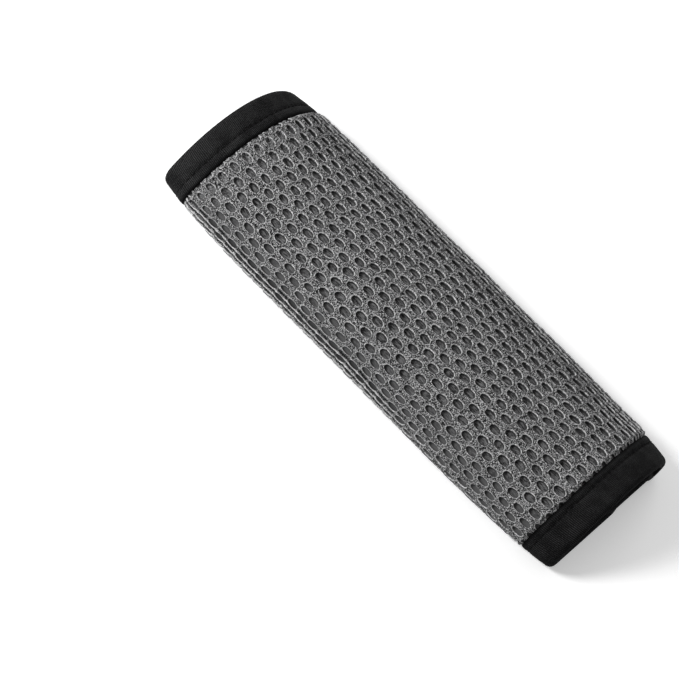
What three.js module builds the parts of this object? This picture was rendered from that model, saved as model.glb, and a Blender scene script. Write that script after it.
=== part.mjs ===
// Seat belt shoulder pad: one padded panel, bound all round with tape, that wraps the belt in a flat
// tube and closes under it, the outer flap over the inner one.
// Millimetres. X runs along the belt, Y across it, Z up. The pad lies on its outer flap, crown up.
// Every layer is drawn flat on the opened panel and then wrapped:
//   p  across the opened panel from the crown line, the outer flap on the minus side,
//   v  along the belt from the middle,
//   w  through the panel from its lining face outwards.
import * as THREE from "three";

// The closed pad
const LENGTH = 200;
const HALF_WIDTH_MIDDLE = 39.6;
const HALF_WIDTH_END = 35.2;
const HEIGHT_MIDDLE = 21;
const HEIGHT_END = 24.2;
const FLARE_POWER = 5.8; // how suddenly the ends narrow and rise
const FOLD_RADIUS = 5.2; // of the face at both side folds

// The flaps under the belt
const OUTER_FLAP_REACH = 28.5; // past the centre line, at the middle of the pad
const FLAP_SPACING = 2.4; // filled by the closed hook and loop strips
const RAMP_ANGLE = Math.PI / 4; // the inner flap climbs onto the outer one
const RAMP_RADIUS = 5;
const OUTER_CORNER = 26;
const INNER_CORNER = 16;

// The layers of the panel
const LINING = 0.5;
const FOAM = 1;
const MESH = 1.5;
const LAYER_GAP = 0.3;

// The binding tape
const TAPE = 0.65;
const TAPE_COVER = 12; // what it covers of each face
const TAPE_PROUD = 0.3; // above the open faces
const TAPE_GAP = 0.4; // to the squeezed layers inside it
const STITCH_INSET = 8.7; // from the bound edge
const STITCH_DEPTH = 0.3;
const STITCH_HALF = 0.7;
const CUT_EDGE_INSET = 2.8; // where mesh and lining end inside the tape
const SQUEEZE_RUN = 1.2; // over which they swell to full height beside it

// The closing strips
const STRIP_WIDTH = 16;
const STRIP_THICKNESS = 0.75;

// The holes of the air mesh, in a staggered pattern
const HOLE_PITCH = 5.93; // across the belt
const ROW_PITCH = 5.19; // along it
const HOLE_HALF_WIDTH = 1.35;
const HOLE_HALF_LENGTH = 2.05;
const HOLE_SHOULDER = 1.05; // half the straight side of a hole
const PIT_DEPTH = 1.1;
const COLUMN_PHASE = -0.34;
const ROW_PHASE = 5.33;
const HOLE_MARGIN = 0.7; // least land between a hole and the tape's swell

// How finely the wrapped faces are divided
const CROWN_STEP = 10;
const OUTER_FOLD_STEPS = 5;
const INNER_FOLD_STEPS = 7;
const RAMP_STEPS = 3;
const CORNER_STEPS = 4;
const RUN_FRACTIONS = [0, 0.68, 0.9, 1];
const TAPE_EDGE_STEPS = 4; // round its outer face, and half as many round its inner one
const MERGE_STEPS = 1e4; // of a millimetre, to tell places apart

// What follows from them
const PANEL = LINING + FOAM + MESH + 2 * LAYER_GAP;
const FOAM_FACE = LINING + LAYER_GAP;
const MESH_BACK = FOAM_FACE + FOAM + LAYER_GAP;
const HALF_LENGTH = LENGTH / 2;
const mix = THREE.MathUtils.lerp;

// The wrapped face of the panel at one place along the belt, as stretches of constant bend that leave
// the crown for one side. A stretch has its length and how far it turns towards the belt.
function crownShape(v) {
  const flare = Math.abs(v / HALF_LENGTH) ** FLARE_POWER;
  const halfWidth = mix(HALF_WIDTH_MIDDLE, HALF_WIDTH_END, flare);
  const height = mix(HEIGHT_MIDDLE, HEIGHT_END, flare);
  const flat = halfWidth - FOLD_RADIUS;
  const angle = 2 * Math.atan2(height - 2 * FOLD_RADIUS, flat);
  const radius = FOLD_RADIUS + flat / Math.sin(angle);
  return { height, flat, angle, crown: radius * angle, fold: FOLD_RADIUS * (Math.PI - angle) };
}

function outerSide(shape) {
  return [
    { length: shape.crown, turn: shape.angle },
    { length: shape.fold, turn: Math.PI - shape.angle },
    { length: Infinity, turn: 0 },
  ];
}

const RAMP_RISE = PANEL + FLAP_SPACING;
const BENDS_RISE = (FOLD_RADIUS + RAMP_RADIUS) * (1 - Math.cos(RAMP_ANGLE));
const RAMP_LENGTH = (RAMP_RISE - BENDS_RISE) / Math.sin(RAMP_ANGLE);
const RAMP_RUN =
  (FOLD_RADIUS + RAMP_RADIUS) * Math.sin(RAMP_ANGLE) + RAMP_LENGTH * Math.cos(RAMP_ANGLE);

function innerSide(shape) {
  return [
    { length: shape.crown, turn: shape.angle },
    { length: shape.fold + FOLD_RADIUS * RAMP_ANGLE, turn: Math.PI - shape.angle + RAMP_ANGLE },
    { length: RAMP_LENGTH, turn: 0 },
    { length: RAMP_RADIUS * RAMP_ANGLE, turn: -RAMP_ANGLE },
    { length: Infinity, turn: 0 },
  ];
}

// Walks `distance` along the stretches and gives the place and the direction there.
function walk(stretches, distance) {
  let y = 0;
  let z = 0;
  let heading = 0;
  let left = distance;
  for (const { length, turn } of stretches) {
    const part = Math.min(left, length);
    if (turn === 0) {
      y += part * Math.cos(heading);
      z -= part * Math.sin(heading);
    } else {
      const radius = length / turn;
      const next = heading + part / radius;
      y += radius * (Math.sin(next) - Math.sin(heading));
      z += radius * (Math.cos(next) - Math.cos(heading));
      heading = next;
    }
    left -= part;
    if (left <= 0) break;
  }
  return { y, z, heading };
}

// The panel is cut narrower towards its ends by as much as the tube is, so its long edges stay
// beside the side folds.
const MIDDLE = crownShape(0);
const girth = (shape) => shape.crown + shape.fold + shape.flat;
const ease = (v) => girth(crownShape(v)) / girth(MIDDLE);

// From a place on the opened panel to the closed pad.
function wrap(p, v, w) {
  const shape = crownShape(v);
  const side = p < 0 ? -1 : 1;
  const stretches = p < 0 ? outerSide(shape) : innerSide(shape);
  const { y, z, heading } = walk(stretches, Math.abs(p) * ease(v));
  const lift = w - PANEL;
  return new THREE.Vector3(
    v,
    side * (y + lift * Math.sin(heading)),
    TAPE_PROUD + shape.height + z + lift * Math.cos(heading),
  );
}

// Landmarks across the opened panel
const OUTER_FOLD_END = MIDDLE.crown + MIDDLE.fold;
const OUTER_EDGE = OUTER_FOLD_END + MIDDLE.flat + OUTER_FLAP_REACH;
const INNER_FOLD_END = MIDDLE.crown + MIDDLE.fold + FOLD_RADIUS * RAMP_ANGLE;
const RAMP_END = INNER_FOLD_END + RAMP_LENGTH + RAMP_RADIUS * RAMP_ANGLE;
const SWELL_START = TAPE_COVER + LAYER_GAP;
const SWELL_END = SWELL_START + SQUEEZE_RUN;

// The hook strip lies inside the outer flap, beside the tape of its free edge. The loop strip faces it
// across the spacing, and the inner flap ends a tape's width beyond.
const HOOK_FROM = -(OUTER_EDGE - SWELL_END);
const HOOK_TO = HOOK_FROM + STRIP_WIDTH;
const HOOK_NEAR_Y = OUTER_FLAP_REACH - SWELL_END;
const LOOP_FROM = RAMP_END + MIDDLE.flat - RAMP_RUN - HOOK_NEAR_Y;
const LOOP_TO = LOOP_FROM + STRIP_WIDTH;
const INNER_EDGE = LOOP_TO + SWELL_END;

// The number of equal steps in a stretch, and their ends after the first
function steps(from, to, count) {
  return Array.from({ length: count }, (_, k) => mix(from, to, (k + 1) / count));
}

const crownSteps = Math.ceil(MIDDLE.crown / CROWN_STEP);
const STATIONS = [
  -(OUTER_EDGE - OUTER_CORNER),
  -OUTER_FOLD_END,
  ...steps(-OUTER_FOLD_END, -MIDDLE.crown, OUTER_FOLD_STEPS),
  ...steps(-MIDDLE.crown, MIDDLE.crown, 2 * crownSteps),
  ...steps(MIDDLE.crown, INNER_FOLD_END, INNER_FOLD_STEPS),
  ...steps(INNER_FOLD_END, RAMP_END, RAMP_STEPS),
  INNER_EDGE - INNER_CORNER,
];

// The columns of the panel from the outer flap's free edge to the inner one's: each gives its p and
// its half length at an inset from the edge.
function cornerColumns(side, edge, corner) {
  return Array.from({ length: CORNER_STEPS }, (_, k) => {
    const angle = (k / CORNER_STEPS) * (Math.PI / 2);
    return (inset) => ({
      p: side * (edge - corner + (corner - inset) * Math.cos(angle)),
      half: HALF_LENGTH - corner + (corner - inset) * Math.sin(angle),
    });
  });
}

const COLUMNS = [
  ...cornerColumns(-1, OUTER_EDGE, OUTER_CORNER),
  ...STATIONS.map((p) => (inset) => ({ p, half: HALF_LENGTH - inset })),
  ...cornerColumns(1, INNER_EDGE, INNER_CORNER).reverse(),
];
const FOLD_COLUMN = CORNER_STEPS + STATIONS.indexOf(INNER_FOLD_END); // where the inner side fold ends
const FRACTIONS = [...RUN_FRACTIONS.slice(1).map((t) => -t).reverse(), ...RUN_FRACTIONS];

// The closed line at an inset from the panel's edge, anticlockwise in (p, v), up to a last column
function ring(inset, end = COLUMNS.length) {
  const columns = COLUMNS.slice(0, end).map((column) => column(inset));
  const first = columns[0];
  const last = columns[columns.length - 1];
  const between = FRACTIONS.slice(1, -1);
  return [
    ...columns.map(({ p, half }) => [p, -half]),
    ...between.map((t) => [last.p, last.half * t]),
    ...columns.map(({ p, half }) => [p, half]).reverse(),
    ...between.map((t) => [first.p, first.half * t]).reverse(),
  ];
}

// Collects the faces of one closed solid in panel coordinates.
class Shell {
  constructor() {
    this.places = new Map();
    this.positions = [];
    this.faces = [];
  }

  vertex([p, v], w) {
    const key = [p, v, w].map((value) => Math.round(value * MERGE_STEPS)).join();
    if (!this.places.has(key)) {
      this.places.set(key, this.positions.length / 3);
      this.positions.push(...wrap(p, v, w).toArray());
    }
    return this.places.get(key);
  }

  // Takes the corners anticlockwise in (p, v), which is clockwise as seen from outside the pad.
  triangle(a, b, c) {
    if (a !== b && b !== c && c !== a) this.faces.push(a, c, b);
  }

  quad(a, b, c, d) {
    this.triangle(a, b, c);
    this.triangle(a, c, d);
  }

  // A band between two rings with as many places
  band(ringA, wA, ringB, wB) {
    ringA.forEach((_, k) => {
      const next = (k + 1) % ringA.length;
      this.quad(
        this.vertex(ringA[k], wA),
        this.vertex(ringA[next], wA),
        this.vertex(ringB[next], wB),
        this.vertex(ringB[k], wB),
      );
    });
  }

  // The field inside an inset, as columns of quads from a first column on
  field(inset, w, outwards, start = 0) {
    const columns = COLUMNS.slice(start).map((column) => column(inset));
    const at = ({ p, half }, t) => this.vertex([p, half * t], w);
    for (let c = 1; c < columns.length; c++) {
      for (let k = 1; k < FRACTIONS.length; k++) {
        const low = FRACTIONS[k - 1];
        const high = FRACTIONS[k];
        const corners = [
          at(columns[c - 1], low),
          at(columns[c], low),
          at(columns[c], high),
          at(columns[c - 1], high),
        ];
        this.quad(...(outwards ? corners : corners.reverse()));
      }
    }
  }

  geometry() {
    const geometry = new THREE.BufferGeometry();
    geometry.setAttribute("position", new THREE.Float32BufferAttribute(this.positions, 3));
    geometry.setIndex(this.faces);
    geometry.computeVertexNormals();
    return geometry;
  }
}

// A sheet between two faces, whose levels are given from its cut edge inwards.
function sheet(levels, outerField) {
  const shell = new Shell();
  const rings = levels.map(({ inset }) => ring(inset));
  const deep = levels.length - 1;
  shell.band(rings[0], levels[0].back, rings[0], levels[0].face);
  for (let k = 0; k < deep; k++) {
    shell.band(rings[k], levels[k].face, rings[k + 1], levels[k + 1].face);
    shell.band(rings[k + 1], levels[k + 1].back, rings[k], levels[k].back);
  }
  const { inset, back, face } = levels[deep];
  shell.field(inset, back, false);
  if (outerField) outerField(shell, inset, face);
  else shell.field(inset, face, true);
  return shell.geometry();
}

// The air mesh's holes: each is a pit, longer along the belt than across it. The pits on the crown have
// six sides, and those on the folds and the outer flap have four. The inner flap is left plain from the
// end of its fold, where the outer flap covers it.
function holeAt(row, column) {
  const v = row * ROW_PITCH + ROW_PHASE;
  const u = column * (HOLE_PITCH / 2) + COLUMN_PHASE;
  const shoulder = Math.abs(u) < MIDDLE.crown ? HOLE_SHOULDER : 0;
  const place = (across, along) => [(u + across) / ease(v + along), v + along];
  return {
    row,
    column,
    centre: place(0, 0),
    rim: [
      place(HOLE_HALF_WIDTH, -shoulder),
      place(HOLE_HALF_WIDTH, shoulder),
      place(0, HOLE_HALF_LENGTH),
      place(-HOLE_HALF_WIDTH, shoulder),
      place(-HOLE_HALF_WIDTH, -shoulder),
      place(0, -HOLE_HALF_LENGTH),
    ],
  };
}

// Whether a place lies inside the panel's outline at an inset
function inside([p, v], inset) {
  const [edge, corner] = p < 0 ? [OUTER_EDGE, OUTER_CORNER] : [INNER_EDGE, INNER_CORNER];
  const beyondP = Math.max(Math.abs(p) - (edge - corner), 0);
  const beyondV = Math.max(Math.abs(v) - (HALF_LENGTH - corner), 0);
  return Math.hypot(beyondP, beyondV) <= corner - inset;
}

function holePattern(inset) {
  const holes = new Map();
  const lastRow = Math.ceil(HALF_LENGTH / ROW_PITCH) + 1;
  const lastColumn = Math.ceil(OUTER_EDGE / (HOLE_PITCH / 2)) + 1;
  for (let row = -lastRow; row <= lastRow; row++) {
    for (let column = -lastColumn; column <= lastColumn; column++) {
      if ((row + column) % 2 !== 0) continue;
      const hole = holeAt(row, column);
      const fits = hole.rim.every((place) => inside(place, inset + HOLE_MARGIN));
      const open = hole.rim.every(([p]) => p < INNER_FOLD_END - HOLE_MARGIN);
      if (fits && open) holes.set(row + "," + column, hole);
    }
  }
  return withoutStragglers(holes);
}

// Drops holes at the rim of the pattern that have fewer than three neighbours.
function withoutStragglers(holes) {
  const around = [[0, 2], [1, 1], [1, -1], [0, -2], [-1, -1], [-1, 1]];
  for (const [key, { row, column }] of holes) {
    const neighbours = around.filter(([r, c]) => holes.has(row + r + "," + (column + c)));
    if (neighbours.length < 3) holes.delete(key);
  }
  return holes;
}

// The outer face inside an inset: holes, the land between them, and the land out to its border.
function pittedField(shell, inset, w) {
  const holes = holePattern(inset);
  const before = shell.faces.length;
  const placeOf = new Map();
  const rimVertex = (place) => {
    const vertex = shell.vertex(place, w);
    placeOf.set(vertex, place);
    return vertex;
  };
  for (const hole of holes.values()) hole.vertices = hole.rim.map(rimVertex);
  const near = (hole, rows, columns) => holes.get(hole.row + rows + "," + (hole.column + columns));
  for (const hole of holes.values()) {
    const [lowRight, highRight, top, highLeft] = hole.vertices;
    const floor = shell.vertex(hole.centre, w - PIT_DEPTH);
    hole.vertices.forEach((vertex, k) => {
      shell.triangle(vertex, hole.vertices[(k + 1) % hole.vertices.length], floor);
    });
    const right = near(hole, 0, 2);
    const upRight = near(hole, 1, 1);
    const upLeft = near(hole, 1, -1);
    if (right) shell.quad(lowRight, right.vertices[4], right.vertices[3], highRight);
    if (upRight) shell.quad(highRight, upRight.vertices[5], upRight.vertices[4], top);
    if (upLeft) shell.quad(top, upLeft.vertices[0], upLeft.vertices[5], highLeft);
    if (right && upRight) shell.triangle(highRight, right.vertices[3], upRight.vertices[5]);
    if (upRight && upLeft) shell.triangle(top, upRight.vertices[4], upLeft.vertices[0]);
  }
  const fringe = boundaryOf(shell.faces.slice(before)).map((vertex) => placeOf.get(vertex));
  fillBetween(shell, ring(inset, FOLD_COLUMN + 1), fringe, w);
  shell.field(inset, w, true, FOLD_COLUMN);
}

// The closed line round a patch of triangles, anticlockwise in (p, v)
function boundaryOf(faces) {
  const next = new Map();
  const edges = new Set();
  for (let k = 0; k < faces.length; k += 3) {
    for (let side = 0; side < 3; side++) {
      edges.add(faces[k + ((side + 1) % 3)] + "," + faces[k + side]);
    }
  }
  for (const edge of edges) {
    const [from, to] = edge.split(",").map(Number);
    if (!edges.has(to + "," + from)) next.set(from, to);
  }
  const start = next.keys().next().value;
  const line = [start];
  for (let at = next.get(start); at !== start; at = next.get(at)) line.push(at);
  return line;
}

const turnOf = (a, b, c) => (b[0] - a[0]) * (c[1] - a[1]) - (b[1] - a[1]) * (c[0] - a[0]);
const spanOf = (a, b) => Math.hypot(a[0] - b[0], a[1] - b[1]);

// Turns a closed line so that it starts at the place nearest to a target.
function startingNear(line, target) {
  const spans = line.map((place) => spanOf(place, target));
  const nearest = spans.indexOf(Math.min(...spans));
  return [...line.slice(nearest), ...line.slice(0, nearest + 1)];
}

// Fills the strip between a border and a fringe inside it with triangles that each take one step along
// one of them. Of all the ways round, the one with the shortest cross lines is taken.
function fillBetween(shell, border, fringe, w) {
  const outer = startingNear(border, fringe[0]);
  const inner = startingNear(fringe, outer[0]);
  const folded = 1e3; // the price of a triangle that would lie upside down
  const price = (a, b, c, cross) => cross + (turnOf(a, b, c) > 0 ? 0 : folded);
  const costs = outer.map(() => new Array(inner.length).fill(Infinity));
  const alongOuter = outer.map(() => new Array(inner.length).fill(false));
  costs[0][0] = 0;
  outer.forEach((a, i) => {
    inner.forEach((b, j) => {
      const cross = spanOf(a, b);
      if (i > 0) {
        const cost = costs[i - 1][j] + price(outer[i - 1], a, b, cross);
        if (cost < costs[i][j]) {
          costs[i][j] = cost;
          alongOuter[i][j] = true;
        }
      }
      if (j > 0) {
        const cost = costs[i][j - 1] + price(a, b, inner[j - 1], cross);
        if (cost < costs[i][j]) {
          costs[i][j] = cost;
          alongOuter[i][j] = false;
        }
      }
    });
  });
  let i = outer.length - 1;
  let j = inner.length - 1;
  while (i > 0 || j > 0) {
    const step = alongOuter[i][j];
    const corners = step ? [outer[i - 1], outer[i], inner[j]] : [outer[i], inner[j], inner[j - 1]];
    shell.triangle(...corners.map((place) => shell.vertex(place, w)));
    if (step) i -= 1;
    else j -= 1;
  }
}

// The tape's section, as [inset, w] from the edge of its outer leg round the panel's edge and back.
function tapeSection() {
  const top = PANEL + TAPE_PROUD;
  const middle = PANEL / 2;
  const radius = top - middle;
  const arc = (size, from, to, count) =>
    Array.from({ length: count + 1 }, (_, k) => {
      const angle = mix(from, to, k / count);
      return [radius - size * Math.cos(angle), middle + size * Math.sin(angle)];
    });
  const quarter = Math.PI / 2;
  return [
    [TAPE_COVER, top - TAPE],
    [TAPE_COVER, top],
    [STITCH_INSET + STITCH_HALF, top],
    [STITCH_INSET, top - STITCH_DEPTH],
    [STITCH_INSET - STITCH_HALF, top],
    ...arc(radius, quarter, -quarter, TAPE_EDGE_STEPS),
    [TAPE_COVER, -TAPE_PROUD],
    [TAPE_COVER, -TAPE_PROUD + TAPE],
    ...arc(radius - TAPE, -quarter, quarter, TAPE_EDGE_STEPS / 2),
  ];
}

function bindingGeometry() {
  const shell = new Shell();
  const section = tapeSection();
  const rings = section.map(([inset]) => ring(inset));
  section.forEach(([, w], k) => {
    const next = (k + 1) % section.length;
    shell.band(rings[next], section[next][1], rings[k], w);
  });
  return shell.geometry();
}

// A plain strip sewn on a flap, between two places across the panel, as long as the straight part of
// the outer flap's free edge.
function stripGeometry(fromP, toP, back, face) {
  const shell = new Shell();
  const half = HALF_LENGTH - OUTER_CORNER;
  const across = (v, w) => [shell.vertex([fromP, v], w), shell.vertex([toP, v], w)];
  const line = (w) => FRACTIONS.map((t) => across(half * t, w));
  const lower = line(back);
  const upper = line(face);
  const last = FRACTIONS.length - 1;
  for (let k = 1; k <= last; k++) {
    shell.quad(upper[k - 1][0], upper[k - 1][1], upper[k][1], upper[k][0]);
    shell.quad(lower[k - 1][1], lower[k - 1][0], lower[k][0], lower[k][1]);
    shell.quad(lower[k - 1][0], upper[k - 1][0], upper[k][0], lower[k][0]);
    shell.quad(upper[k - 1][1], lower[k - 1][1], lower[k][1], upper[k][1]);
  }
  shell.quad(lower[0][0], lower[0][1], upper[0][1], upper[0][0]);
  shell.quad(lower[last][1], lower[last][0], upper[last][0], upper[last][1]);
  return shell.geometry();
}

const TAPE_UNDERSIDE = PANEL + TAPE_PROUD - TAPE - TAPE_GAP;
const TAPE_INSIDE = -TAPE_PROUD + TAPE + TAPE_GAP;

const faceMesh = sheet(
  [
    { inset: CUT_EDGE_INSET, back: MESH_BACK, face: TAPE_UNDERSIDE },
    { inset: SWELL_START, back: MESH_BACK, face: TAPE_UNDERSIDE },
    { inset: SWELL_END, back: MESH_BACK, face: PANEL },
  ],
  pittedField,
);
const foamPadding = sheet([{ inset: SWELL_END + LAYER_GAP, back: FOAM_FACE, face: FOAM_FACE + FOAM }]);
const innerLining = sheet([
  { inset: CUT_EDGE_INSET, back: TAPE_INSIDE, face: TAPE_INSIDE + LINING },
  { inset: SWELL_START, back: TAPE_INSIDE, face: TAPE_INSIDE + LINING },
  { inset: SWELL_END, back: 0, face: LINING },
]);

const hookStrip = stripGeometry(HOOK_FROM, HOOK_TO, -LAYER_GAP - STRIP_THICKNESS, -LAYER_GAP);
const loopBack = PANEL + LAYER_GAP;
const loopStrip = stripGeometry(LOOP_FROM, LOOP_TO, loopBack, loopBack + STRIP_THICKNESS);

const pieces = {
  face_mesh: [faceMesh, 0x5a5b5c, 0.9],
  foam_padding: [foamPadding, 0x2c2c2e, 0.95],
  inner_lining: [innerLining, 0x121213, 0.85],
  edge_binding: [bindingGeometry(), 0x17171a, 0.75],
  hook_strip: [hookStrip, 0x0f0f10, 0.8],
  loop_strip: [loopStrip, 0x131314, 0.95],
};

const pad = new THREE.Group();
for (const [name, [geometry, color, roughness]] of Object.entries(pieces)) {
  const material = new THREE.MeshStandardMaterial({ color, roughness, metalness: 0 });
  const mesh = new THREE.Mesh(geometry, material);
  mesh.name = name;
  pad.add(mesh);
}

export default pad;
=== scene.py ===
"""Seat belt shoulder pad: an air-mesh panel bound with ribbed tape and wrapped flat round a belt."""

import logging
import math
from dataclasses import dataclass
from enum import Enum

import bpy
import numpy as np
from mathutils import Matrix, Vector


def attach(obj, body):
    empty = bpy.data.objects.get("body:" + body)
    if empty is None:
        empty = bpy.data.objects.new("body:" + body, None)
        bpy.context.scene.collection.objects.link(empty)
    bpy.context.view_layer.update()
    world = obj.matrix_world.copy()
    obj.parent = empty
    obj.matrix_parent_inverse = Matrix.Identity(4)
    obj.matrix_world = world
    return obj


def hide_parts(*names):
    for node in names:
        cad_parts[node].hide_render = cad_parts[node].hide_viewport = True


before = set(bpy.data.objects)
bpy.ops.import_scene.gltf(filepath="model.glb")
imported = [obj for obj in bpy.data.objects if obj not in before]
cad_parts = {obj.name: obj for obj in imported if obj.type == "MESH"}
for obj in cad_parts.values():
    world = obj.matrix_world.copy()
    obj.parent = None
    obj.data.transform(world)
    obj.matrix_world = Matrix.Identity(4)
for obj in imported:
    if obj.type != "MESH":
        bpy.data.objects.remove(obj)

MM = 0.001
SEED = 11
BAKE_MAP = "OFBake"
WHITE = (1.0, 1.0, 1.0)
LOG = logging.getLogger("shoulder_pad")

Array = np.ndarray
Colour = tuple[float, float, float]
Span = tuple[float, float]


def smooth_step(low: float, high: float, x: Array) -> Array:
    """Rises smoothly from 0 at low to 1 at high."""
    t = np.clip((np.asarray(x) - low) / (high - low), 0, 1)
    return t * t * (3 - 2 * t)


def bump_at(middle: float, width: float, x: Array) -> Array:
    """A soft hump of height 1 around a middle, about two widths across."""
    return np.exp(-(((np.asarray(x) - middle) / width) ** 2))


class Ripple:
    """A slow, even unevenness over the cloth, made of a few waves with seeded directions."""

    def __init__(self, seed: int, shortest: float, longest: float, waves: int = 7) -> None:
        """Draws the waves.

        Args:
            seed: the number that fixes the draw.
            shortest: the shortest wave, in metres.
            longest: the longest wave.
            waves: how many are summed.
        """
        draw = np.random.default_rng(seed)
        heading = draw.uniform(0, 2 * math.pi, waves)
        size = 2 * math.pi / draw.uniform(shortest, longest, waves)
        self.across = np.cos(heading) * size
        self.along = np.sin(heading) * size
        self.phase = draw.uniform(0, 2 * math.pi, waves)

    def at(self, a: Array, b: Array) -> Array:
        """The ripple, from about -1 to 1, at places (a, b) in metres."""
        turns = np.multiply.outer(a, self.across) + np.multiply.outer(b, self.along) + self.phase
        return np.sin(turns).sum(-1) / math.sqrt(len(self.phase)) * 0.8


@dataclass(frozen=True)
class Panel:
    """The bound panel, and the way it wraps the belt.

    A place on it is (u, v, w). u runs across the panel along its outer face from the crown line, with
    the outer flap on the minus side. v runs along the belt from the middle. w runs through the panel
    from the lining's face outwards. p is u on the panel as cut, which narrows towards its ends.
    """

    length: float = 200 * MM
    half_width_middle: float = 39.6 * MM
    half_width_end: float = 35.2 * MM
    height_middle: float = 21 * MM
    height_end: float = 24.2 * MM
    flare_power: float = 5.8
    fold_radius: float = 5.2 * MM
    outer_flap_reach: float = 28.5 * MM
    flap_spacing: float = 2.4 * MM
    ramp_angle: float = math.pi / 4
    ramp_radius: float = 5 * MM
    outer_corner: float = 26 * MM
    inner_corner: float = 16 * MM
    thickness: float = 3.6 * MM
    mesh_back: float = 2.1 * MM
    tape_proud: float = 0.3 * MM
    strip_width: float = 16 * MM
    swell_end: float = 13.5 * MM

    @property
    def half_length(self) -> float:
        """Half of the pad's length."""
        return self.length / 2

    def section(self, v: Array) -> dict[str, Array]:
        """The stretches of the wrapped face at places along the belt.

        Args:
            v: the places.

        Returns:
            Its height, the crown's arc length and turn, the fold's arc length, and the flat width.
        """
        flare = np.abs(np.asarray(v, float) / self.half_length) ** self.flare_power
        half_width = self.half_width_middle + (self.half_width_end - self.half_width_middle) * flare
        height = self.height_middle + (self.height_end - self.height_middle) * flare
        flat = half_width - self.fold_radius
        angle = 2 * np.arctan2(height - 2 * self.fold_radius, flat)
        crown = (self.fold_radius + flat / np.sin(angle)) * angle
        fold = self.fold_radius * (math.pi - angle)
        return {"height": height, "flat": flat, "angle": angle, "crown": crown, "fold": fold}

    def ease(self, v: Array) -> Array:
        """How much narrower the tube is at v than in its middle, as a share."""
        girths = [sum(self.section(x)[part] for part in ("crown", "fold", "flat")) for x in (v, 0.0)]
        return girths[0] / girths[1]

    @property
    def crown_end(self) -> float:
        """u where the crown's arc ends, in the middle of the pad."""
        return float(self.section(0.0)["crown"])

    @property
    def fold_end(self) -> float:
        """u where the outer flap's side fold ends."""
        return self.crown_end + float(self.section(0.0)["fold"])

    @property
    def inner_fold_end(self) -> float:
        """u where the inner flap's side fold ends and its ramp starts."""
        return self.fold_end + self.fold_radius * self.ramp_angle

    @property
    def outer_edge(self) -> float:
        """How far the outer flap's free edge is from the crown line."""
        return self.fold_end + float(self.section(0.0)["flat"]) + self.outer_flap_reach

    @property
    def ramp_length(self) -> float:
        """The straight part of the inner flap's ramp."""
        bends = (self.fold_radius + self.ramp_radius) * (1 - math.cos(self.ramp_angle))
        return (self.thickness + self.flap_spacing - bends) / math.sin(self.ramp_angle)

    @property
    def loop_from(self) -> float:
        """u where the loop strip starts on the inner flap, which faces the hook strip."""
        bend = self.ramp_radius * self.ramp_angle
        run = (self.fold_radius + self.ramp_radius) * math.sin(self.ramp_angle)
        run += self.ramp_length * math.cos(self.ramp_angle)
        hook_near = self.outer_flap_reach - self.swell_end
        ramp_end = self.inner_fold_end + self.ramp_length + bend
        return ramp_end + float(self.section(0.0)["flat"]) - run - hook_near

    @property
    def inner_edge(self) -> float:
        """How far the inner flap's free edge is from the crown line."""
        return self.loop_from + self.strip_width + self.swell_end

    @property
    def cut(self) -> Span:
        """The width and the length of the panel laid flat."""
        return self.outer_edge + self.inner_edge, self.length

    @property
    def area(self) -> float:
        """The panel's area, less what its four round corners leave off."""
        lost = (4 - math.pi) / 2 * (self.outer_corner**2 + self.inner_corner**2)
        return self.cut[0] * self.cut[1] - lost

    @staticmethod
    def walk(stretches: list[tuple[Array, Array | float]], distance: Array) -> tuple[Array, Array, Array]:
        """Follows stretches of constant bend.

        Args:
            stretches: the length and the turn of each.
            distance: how far to go, for each place.

        Returns:
            How far across and down that leads, and the heading there.
        """
        across, down, heading = (np.zeros_like(distance) for _ in range(3))
        left = distance.copy()
        for length, turn in stretches:
            part = np.minimum(left, length)
            if np.all(turn == 0):
                across += part * np.cos(heading)
                down += part * np.sin(heading)
            else:
                radius = length / turn
                onward = heading + part / radius
                across += radius * (np.sin(onward) - np.sin(heading))
                down -= radius * (np.cos(onward) - np.cos(heading))
                heading = onward
            left -= part
        return across, down, heading

    def place(self, u: Array, v: Array, w: Array) -> Array:
        """From places on the panel to points of the closed pad.

        Args:
            u: across the panel.
            v: along the belt.
            w: through the panel.

        Returns:
            The points, one in each row.
        """
        u, v, w = (x.astype(float).ravel() for x in np.broadcast_arrays(u, v, w))
        s = self.section(v)
        turned = math.pi - s["angle"]
        outer = [(s["crown"], s["angle"]), (s["fold"], turned), (np.inf, 0.0)]
        inner = [
            (s["crown"], s["angle"]),
            (s["fold"] + self.fold_radius * self.ramp_angle, turned + self.ramp_angle),
            (self.ramp_length, 0.0),
            (self.ramp_radius * self.ramp_angle, -self.ramp_angle),
            (np.inf, 0.0),
        ]
        there = [self.walk(stretches, np.abs(u)) for stretches in (outer, inner)]
        across, down, heading = (np.where(u < 0, a, b) for a, b in zip(*there))
        lift = w - self.thickness
        side = np.where(u < 0, -1.0, 1.0)
        y = side * (across + lift * np.sin(heading))
        z = self.tape_proud + s["height"] - down + lift * np.cos(heading)
        return np.stack([v, y, z], 1)

    def inset(self, p: Array, v: Array) -> Array:
        """How far places of the cut panel lie inside its outline.

        Args:
            p: across the cut panel.
            v: along the belt.

        Returns:
            The distances, less than 0 outside.
        """
        edge = np.where(p < 0, self.outer_edge, self.inner_edge)
        corner = np.where(p < 0, self.outer_corner, self.inner_corner)
        over_p = np.abs(p) - (edge - corner)
        over_v = np.abs(v) - (self.half_length - corner)
        outside = np.hypot(np.maximum(over_p, 0), np.maximum(over_v, 0))
        return corner - outside - np.minimum(np.maximum(over_p, over_v), 0)


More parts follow.
